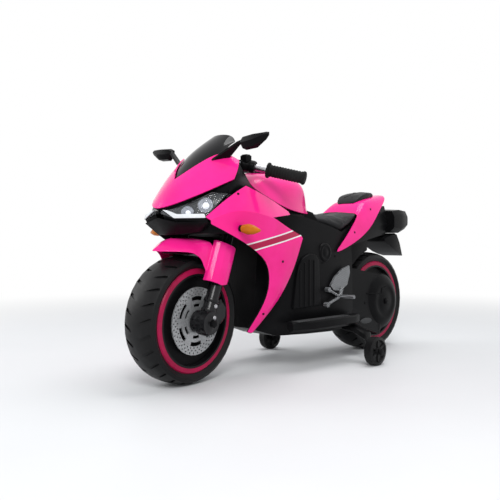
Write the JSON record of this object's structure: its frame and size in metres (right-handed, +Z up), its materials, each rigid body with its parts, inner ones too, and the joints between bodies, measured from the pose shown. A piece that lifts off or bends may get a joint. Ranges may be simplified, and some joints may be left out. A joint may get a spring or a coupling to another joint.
{
  "type": "child's battery ride-on motorcycle",
  "caption": "Battery ride-on sport motorcycle for a child, with sculpted fairings, tank, seat and tail, turning front fork, moulded wheels and outrigger training wheels.",
  "frame": {"origin": "on the ground under the middle of the bike", "axes": "-Y forward, +X to the left of a rider, +Z up"},
  "size_m": [0.496, 1.23, 0.6917],
  "materials": {
    "gloss_pink": "high gloss moulded plastic",
    "crimson_rim": "satin moulded plastic",
    "tyre_black": "matte moulded plastic",
    "grip_rubber": "matte ribbed rubber",
    "gloss_black": "high gloss tinted plastic",
    "seat_vinyl": "grained vinyl",
    "silver_plastic": "silver-coloured satin plastic",
    "disc_grey": "grey satin plastic",
    "steel": "plated steel",
    "clear_lens": "clear moulded lens",
    "amber_lens": "translucent amber plastic",
    "mirror_glass": "mirror film",
    "battery_case": "plain battery case",
    "red_switch": "gloss plastic",
    "black_plastic": "satin moulded plastic"
  },
  "bodies": {
    "chassis": {"battery": "battery_case", "control_box": "black_plastic", "footboard_left": "black_plastic", "footboard_right": "black_plastic", "frame_left": "black_plastic", "frame_right": "black_plastic", "gear_motor": "black_plastic", "headlight_left": "clear_lens", "headlight_right": "clear_lens", "heel_guard_left": "silver_plastic", "heel_guard_right": "silver_plastic", "mirror_glass_left": "mirror_glass", "mirror_glass_right": "mirror_glass", "mirror_left": "black_plastic", "mirror_right": "black_plastic", "nose_chin": "black_plastic", "nose_cowl": "gloss_pink", "pillion_pad": "seat_vinyl", "rear_axle": "steel", "rear_mudguard": "black_plastic", "seat": "seat_vinyl", "side_fairing_left": "gloss_pink", "side_fairing_right": "gloss_pink", "signal_stub_left": "black_plastic", "signal_stub_right": "black_plastic", "switch_panel": "black_plastic", "tail_cowl": "gloss_pink", "tail_lamp_housing": "black_plastic", "tank_cover": "gloss_pink", "training_arm_left": "black_plastic", "training_arm_right": "black_plastic", "turn_signal_left": "amber_lens", "turn_signal_right": "amber_lens", "windscreen": "gloss_black"},
    "front_end": {"bar_clamp": "black_plastic", "fork_crown": "black_plastic", "fork_guard_left": "gloss_pink", "fork_guard_right": "gloss_pink", "fork_leg_left": "black_plastic", "fork_leg_right": "black_plastic", "front_axle": "steel", "front_fender": "gloss_pink", "grip_left": "grip_rubber", "grip_right": "grip_rubber", "handlebar": "steel", "steering_stem": "steel"},
    "front_wheel": {"front_disc_left": "disc_grey", "front_disc_right": "disc_grey", "front_hub": "black_plastic", "front_rim": "crimson_rim", "front_tyre": "tyre_black"},
    "rear_wheel": {"rear_tyre": "tyre_black", "rear_rim": "crimson_rim", "rear_hub": "black_plastic"},
    "training_wheel_left": {"training_wheel_left": "tyre_black"},
    "training_wheel_right": {"training_wheel_right": "tyre_black"},
    "accelerator": {"accelerator_pedal": "black_plastic"},
    "power_rocker": {"power_switch": "red_switch"},
    "direction_rocker": {"direction_switch": "red_switch"}
  },
  "joints": [
    {"name": "steering_turn", "type": "hinge", "parent": "chassis", "child": "front_end", "pos_m": [0, -0.44, 0.175], "axis": [0, 0.342, 0.9397], "range_deg": [-29.5, 14.5]},
    {"name": "front_wheel_spin", "type": "hinge", "parent": "front_end", "child": "front_wheel", "pos_m": [0, -0.44, 0.175], "axis": [0.9914, 0.1227, -0.0446], "continuous": true},
    {"name": "rear_wheel_spin", "type": "hinge", "parent": "chassis", "child": "rear_wheel", "pos_m": [0, 0.41, 0.175], "axis": [1, 0, 0], "continuous": true},
    {"name": "training_left_spin", "type": "hinge", "parent": "chassis", "child": "training_wheel_left", "pos_m": [0.226, 0.148, 0.0445], "axis": [1, 0, 0], "continuous": true},
    {"name": "training_right_spin", "type": "hinge", "parent": "chassis", "child": "training_wheel_right", "pos_m": [-0.226, 0.148, 0.0445], "axis": [1, 0, 0], "continuous": true},
    {"name": "accelerator_press", "type": "hinge", "parent": "chassis", "child": "accelerator", "pos_m": [-0.1293, 0.075, 0.1503], "axis": [1, 0, 0], "range_deg": [0, 6], "stiffness_Nm_per_rad": 4},
    {"name": "power_rock", "type": "hinge", "parent": "chassis", "child": "power_rocker", "pos_m": [0, -0.175, 0.60298], "axis": [1, 0, 0], "range_deg": [-6, 6]},
    {"name": "direction_rock", "type": "hinge", "parent": "chassis", "child": "direction_rocker", "pos_m": [0, -0.135, 0.60298], "axis": [1, 0, 0], "range_deg": [-6, 6]}
  ]
}
